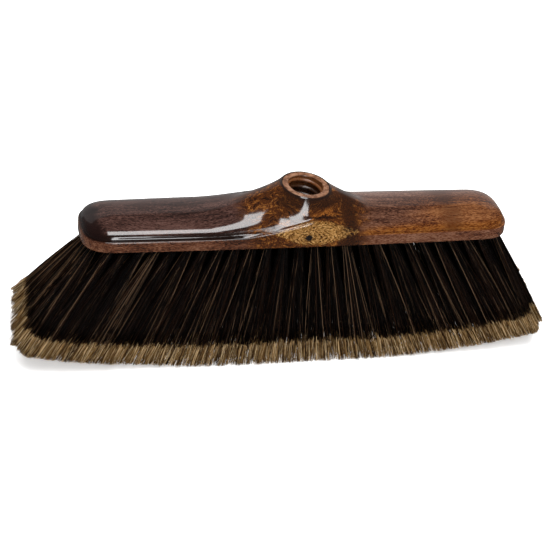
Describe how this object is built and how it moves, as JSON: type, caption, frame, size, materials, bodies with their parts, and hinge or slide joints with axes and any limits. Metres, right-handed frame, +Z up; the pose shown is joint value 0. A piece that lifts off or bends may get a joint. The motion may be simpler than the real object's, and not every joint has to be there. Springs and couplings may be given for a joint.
{
  "type": "indoor broom head",
  "caption": "Screw-on indoor broom head: glossy moulded block with a burr-wood look, a tilted threaded socket and a wide flared field of dark bristles with pale tips.",
  "frame": {"origin": "On the surface the bristle tips rest on, below the middle of the bristle field. The block's own middle is 4.5 mm towards +X, because the field flares further towards -X.", "axes": "+X along the block, towards the end the socket leans to. +Y to the back, away from the boss's steep side. +Z up, from the bristle tips to the socket."},
  "size_m": [0.3474, 0.0934, 0.1067],
  "materials": {
    "burr_cover": "glossy dark burr-wood film under a clear coat",
    "insert": "light brown moulded plastic, satin",
    "plate": "dark brown moulded plastic, satin",
    "bristle": "fine synthetic filament, near black at the root, tan and split at the tip"
  },
  "bodies": {
    "root": {"block_cover": "burr_cover", "thread_insert": "insert", "tuft_plate": "plate", "tuft_bank_01": "bristle", "tuft_bank_02": "bristle", "tuft_bank_03": "bristle", "tuft_bank_04": "bristle", "tuft_bank_05": "bristle", "tuft_bank_06": "bristle", "tuft_bank_07": "bristle", "tuft_bank_08": "bristle", "tuft_bank_09": "bristle", "tuft_bank_10": "bristle", "tuft_bank_11": "bristle", "tuft_bank_12": "bristle", "tuft_bank_13": "bristle", "tuft_bank_14": "bristle", "tuft_bank_15": "bristle", "tuft_bank_16": "bristle", "tuft_bank_17": "bristle", "tuft_bank_18": "bristle", "tuft_bank_19": "bristle", "tuft_bank_20": "bristle", "tuft_bank_21": "bristle", "tuft_bank_22": "bristle", "tuft_bank_23": "bristle", "tuft_bank_24": "bristle", "tuft_bank_25": "bristle", "tuft_bank_26": "bristle", "tuft_bank_27": "bristle"}
  },
  "joints": []
}
